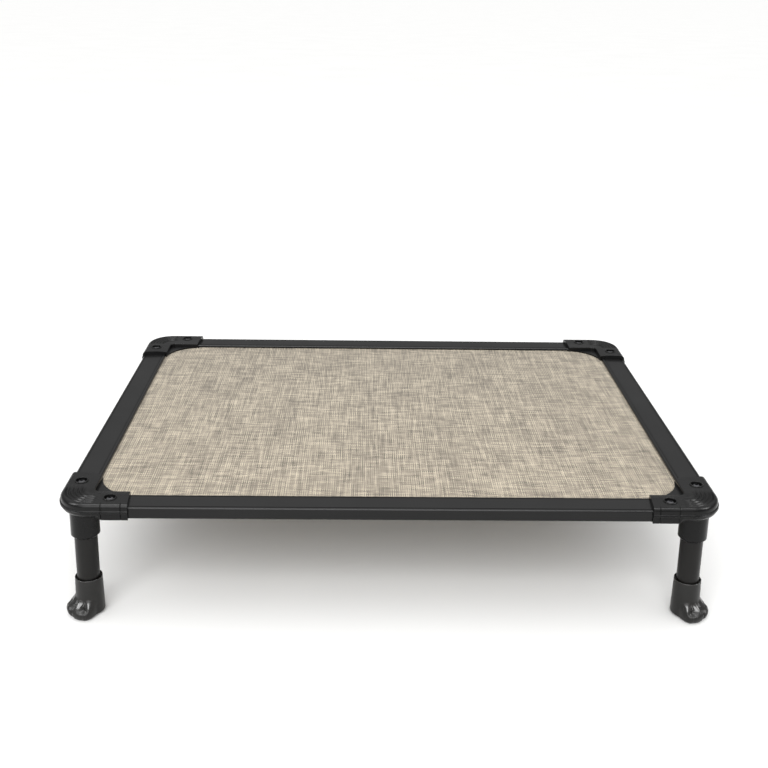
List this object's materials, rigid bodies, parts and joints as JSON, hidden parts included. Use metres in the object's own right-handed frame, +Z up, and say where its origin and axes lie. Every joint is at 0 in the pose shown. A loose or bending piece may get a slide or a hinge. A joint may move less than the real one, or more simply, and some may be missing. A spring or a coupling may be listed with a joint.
{
  "type": "dog bed with frame",
  "caption": "Raised dog bed: black metal rail frame with a stretched woven beige mat, moulded corner connectors, tube legs and paw-shaped rubber feet.",
  "frame": {"origin": "on the floor, under the middle of the bed", "axes": "+X along the bed's length to the right, +Y across it to the back, +Z up"},
  "size_m": [0.813, 0.635, 0.1635],
  "materials": {
    "woven_mat": "slubby plain weave of coated beige, cream and brown yarns, matt",
    "rail": "black satin powder coat on extruded aluminium",
    "hem_rod": "plain extruded rod",
    "connector": "black moulded nylon, satin with a fine texture",
    "leg_tube": "black satin powder coat on steel tube",
    "foot": "dark grey moulded rubber, matt, glossy in the toe grooves",
    "fastener": "black zinc plated steel"
  },
  "bodies": {
    "root": {"mat": "woven_mat", "rail_front": "rail", "rail_right": "rail", "rail_back": "rail", "rail_left": "rail", "hem_rod_front": "hem_rod", "hem_rod_right": "hem_rod", "hem_rod_back": "hem_rod", "hem_rod_left": "hem_rod", "corner_cap_front_left": "connector", "corner_cap_front_right": "connector", "corner_cap_back_left": "connector", "corner_cap_back_right": "connector", "corner_base_front_left": "connector", "corner_base_front_right": "connector", "corner_base_back_left": "connector", "corner_base_back_right": "connector", "leg_tube_front_left": "leg_tube", "leg_tube_front_right": "leg_tube", "leg_tube_back_left": "leg_tube", "leg_tube_back_right": "leg_tube", "paw_foot_front_left": "foot", "paw_foot_front_right": "foot", "paw_foot_back_left": "foot", "paw_foot_back_right": "foot", "corner_bolts": "fastener", "corner_nuts": "fastener"}
  },
  "joints": []
}
